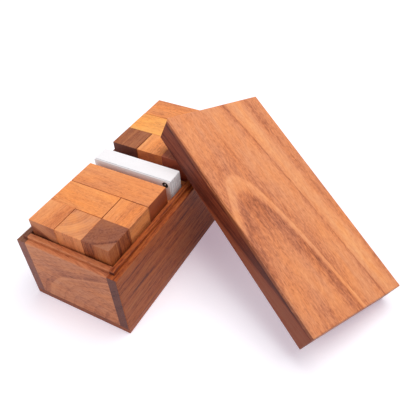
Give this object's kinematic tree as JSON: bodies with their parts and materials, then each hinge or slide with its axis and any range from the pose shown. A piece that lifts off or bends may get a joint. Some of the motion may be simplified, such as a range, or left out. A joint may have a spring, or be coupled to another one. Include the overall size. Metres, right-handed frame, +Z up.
{
  "type": "wooden puzzle box",
  "caption": "Long wooden box with a lift-off lid leaning on it, holding interlocking-cube puzzles made of glued blocks and an upright deck of square cards in a slot between them.",
  "frame": {"origin": "middle of the box's underside, on the ground", "axes": "+Z up, +Y along the box towards its rear end, +X across the box towards the side where the lid leans"},
  "size_m": [0.2659, 0.2075, 0.115],
  "materials": {
    "honey_wood": "oiled, satin",
    "red_brown_wood": "oiled, satin",
    "dark_wood": "oiled, satin",
    "white_card": "smooth coated card"
  },
  "bodies": {
    "box": {"box_end_front": "red_brown_wood", "box_end_rear": "red_brown_wood", "box_floor": "red_brown_wood", "box_side_left": "dark_wood", "box_side_right": "dark_wood", "slot_divider_front": "red_brown_wood", "slot_divider_rear": "red_brown_wood"},
    "front_card": {"front_card": "white_card"},
    "card_deck": {"card_deck": "white_card"},
    "lid": {"lid_rail_left": "dark_wood", "lid_rail_lower": "dark_wood", "lid_rail_right": "red_brown_wood", "lid_rail_upper": "red_brown_wood", "lid_top": "honey_wood"},
    "front_tee": {"front_tee_bar": "honey_wood", "front_tee_stub": "honey_wood"},
    "front_tripod": {"front_tripod_front_foot": "honey_wood", "front_tripod_left_foot": "honey_wood", "front_tripod_post": "honey_wood"},
    "front_zigzag": {"front_zigzag_left_bar": "red_brown_wood", "front_zigzag_right_bar": "honey_wood"},
    "front_right_twist": {"front_right_twist_high_bar": "dark_wood", "front_right_twist_low_bar": "honey_wood"},
    "front_ell": {"front_ell_bar": "honey_wood", "front_ell_stub": "honey_wood"},
    "front_left_twist": {"front_left_twist_corner": "dark_wood", "front_left_twist_post": "honey_wood", "front_left_twist_side": "red_brown_wood"},
    "front_small_ell": {"front_small_ell_bar": "honey_wood", "front_small_ell_stub": "honey_wood"},
    "rear_right_twist": {"rear_right_twist_low_bar": "honey_wood", "rear_right_twist_post": "honey_wood"},
    "rear_zigzag": {"rear_zigzag_high_bar": "honey_wood", "rear_zigzag_low_bar": "honey_wood"},
    "rear_small_ell": {"rear_small_ell_bar": "red_brown_wood", "rear_small_ell_stub": "honey_wood"},
    "rear_tripod": {"rear_tripod_front_foot": "honey_wood", "rear_tripod_left_foot": "honey_wood", "rear_tripod_post": "dark_wood"},
    "rear_tee": {"rear_tee_bar": "honey_wood", "rear_tee_stub": "honey_wood"},
    "rear_left_twist": {"rear_left_twist_corner": "dark_wood", "rear_left_twist_low_bar": "honey_wood", "rear_left_twist_side": "honey_wood"},
    "rear_ell": {"rear_ell_bar": "honey_wood", "rear_ell_stub": "dark_wood"}
  },
  "joints": [
    {"name": "front_tee_lift", "type": "slide", "parent": "box", "child": "front_tee", "axis": [0, 0, 1], "range_m": [0, 0.08]},
    {"name": "front_tripod_lift", "type": "slide", "parent": "front_tee", "child": "front_tripod", "axis": [0, 0, 1], "range_m": [0, 0.08]},
    {"name": "front_zigzag_lift", "type": "slide", "parent": "front_tripod", "child": "front_zigzag", "axis": [0, 0, 1], "range_m": [0, 0.055]},
    {"name": "front_right_twist_lift", "type": "slide", "parent": "front_zigzag", "child": "front_right_twist", "axis": [0, 0, 1], "range_m": [0, 0.08]},
    {"name": "front_ell_lift", "type": "slide", "parent": "front_right_twist", "child": "front_ell", "axis": [0, 0, 1], "range_m": [0, 0.055]},
    {"name": "front_left_twist_lift", "type": "slide", "parent": "front_ell", "child": "front_left_twist", "axis": [0, 0, 1], "range_m": [0, 0.055]},
    {"name": "front_small_ell_lift", "type": "slide", "parent": "front_left_twist", "child": "front_small_ell", "axis": [0, 0, 1], "range_m": [0, 0.03]},
    {"name": "rear_right_twist_lift", "type": "slide", "parent": "box", "child": "rear_right_twist", "axis": [0, 0, 1], "range_m": [0, 0.08]},
    {"name": "rear_zigzag_lift", "type": "slide", "parent": "rear_right_twist", "child": "rear_zigzag", "axis": [0, 0, 1], "range_m": [0, 0.08]},
    {"name": "rear_small_ell_lift", "type": "slide", "parent": "rear_zigzag", "child": "rear_small_ell", "axis": [0, 0, 1], "range_m": [0, 0.08]},
    {"name": "rear_tripod_lift", "type": "slide", "parent": "rear_small_ell", "child": "rear_tripod", "axis": [0, 0, 1], "range_m": [0, 0.08]},
    {"name": "rear_tee_lift", "type": "slide", "parent": "rear_tripod", "child": "rear_tee", "axis": [0, 0, 1], "range_m": [0, 0.055]},
    {"name": "rear_left_twist_lift", "type": "slide", "parent": "rear_tee", "child": "rear_left_twist", "axis": [0, 0, 1], "range_m": [0, 0.055]},
    {"name": "rear_ell_lift", "type": "slide", "parent": "rear_left_twist", "child": "rear_ell", "axis": [0, 0, 1], "range_m": [0, 0.03]},
    {"name": "lid_lift", "type": "slide", "parent": "rear_ell", "child": "lid", "axis": [0, 0, 1], "range_m": [0, 0.09]},
    {"name": "front_card_lift", "type": "slide", "parent": "box", "child": "front_card", "axis": [0, 0, 1], "range_m": [0, 0.08]},
    {"name": "card_deck_lift", "type": "slide", "parent": "box", "child": "card_deck", "axis": [0, 0, 1], "range_m": [0, 0.08]}
  ]
}
